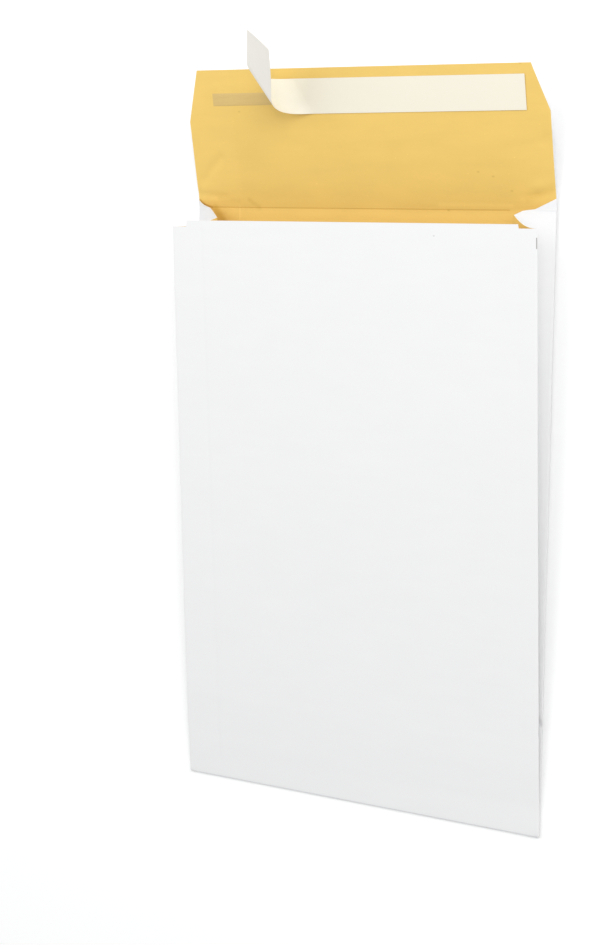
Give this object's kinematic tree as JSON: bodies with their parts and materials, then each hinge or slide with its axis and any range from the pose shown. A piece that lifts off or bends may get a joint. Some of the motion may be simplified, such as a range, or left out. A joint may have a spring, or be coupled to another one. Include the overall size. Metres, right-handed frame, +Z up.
{
  "type": "gusseted mailing envelope",
  "caption": "Open paper mailing envelope with inward-folded side gussets, a raised flap with an adhesive band, and a release liner peeled up at one end.",
  "frame": {"origin": "centre of the back panel's outer face, which lies on the ground", "axes": "+X across the envelope, +Y from the bottom fold towards the flap, +Z up, out of the front panel"},
  "size_m": [0.229, 0.4176, 0.0561],
  "materials": {
    "paper_sheet": "matt white outside, golden kraft inside",
    "adhesive": "clear tacky film with a dull shine, greyish on the kraft",
    "liner_paper": "thin silicone-coated paper, cream above and white below"
  },
  "bodies": {
    "root": {"envelope_body": "paper_sheet", "flap_adhesive": "adhesive", "release_liner": "liner_paper"}
  },
  "joints": []
}
